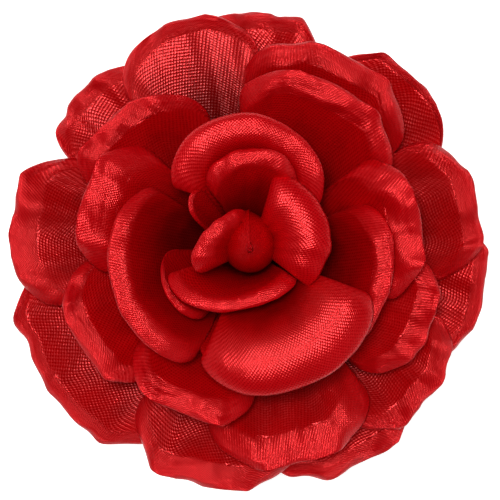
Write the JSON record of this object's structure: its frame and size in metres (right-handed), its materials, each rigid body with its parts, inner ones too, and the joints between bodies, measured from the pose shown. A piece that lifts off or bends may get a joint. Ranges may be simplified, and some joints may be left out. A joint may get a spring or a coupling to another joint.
{
  "type": "flower hair clip",
  "caption": "Red satin rose with rolled petals on a felt disc, glued to the flat top arm of a spring alligator clip that bites the hair.",
  "frame": {"origin": "middle of the rose on the underside of the clip's top arm, the flat face that the hair is pressed against", "axes": "+Z out of the head through the middle of the rose; +X along the clip towards its mouth; +Y across the clip"},
  "size_m": [0.0994, 0.0998, 0.0505],
  "materials": {
    "polyester_satin": "satin",
    "bud_foam": "matte",
    "wool_felt": "matte",
    "hot_glue": "satin",
    "nickel_plated_steel": "polished",
    "music_wire": "satin"
  },
  "bodies": {
    "rose_and_top_arm": {"felt_base": "wool_felt", "bud_core": "bud_foam", "outer_petal_1": "polyester_satin", "outer_petal_2": "polyester_satin", "outer_petal_3": "polyester_satin", "outer_petal_4": "polyester_satin", "outer_petal_5": "polyester_satin", "outer_petal_6": "polyester_satin", "second_petal_1": "polyester_satin", "second_petal_2": "polyester_satin", "second_petal_3": "polyester_satin", "second_petal_4": "polyester_satin", "second_petal_5": "polyester_satin", "third_petal_1": "polyester_satin", "third_petal_2": "polyester_satin", "third_petal_3": "polyester_satin", "third_petal_4": "polyester_satin", "third_petal_5": "polyester_satin", "fourth_petal_1": "polyester_satin", "fourth_petal_2": "polyester_satin", "fourth_petal_3": "polyester_satin", "fourth_petal_4": "polyester_satin", "cup_petal_1": "polyester_satin", "cup_petal_2": "polyester_satin", "cup_petal_3": "polyester_satin", "cup_petal_4": "polyester_satin", "tucked_petal_1": "polyester_satin", "tucked_petal_2": "polyester_satin", "hood_petal": "polyester_satin", "smile_petal": "polyester_satin", "scroll_petal": "polyester_satin", "blade_petal": "polyester_satin", "cradle_petal": "polyester_satin", "side_petal": "polyester_satin", "bud_petal": "polyester_satin", "glue_pad": "hot_glue", "top_arm": "nickel_plated_steel", "hinge_pin": "nickel_plated_steel", "torsion_spring": "music_wire"},
    "jaw": {"lower_arm": "nickel_plated_steel"}
  },
  "joints": [
    {"name": "jaw_hinge", "type": "hinge", "parent": "rose_and_top_arm", "child": "jaw", "pos_m": [-0.011, 0, -0.0034], "axis": [0, 1, 0], "range_deg": [0, 26], "stiffness_Nm_per_rad": 0.15, "springref_deg": -57.3, "deforming": ["torsion_spring"]}
  ]
}
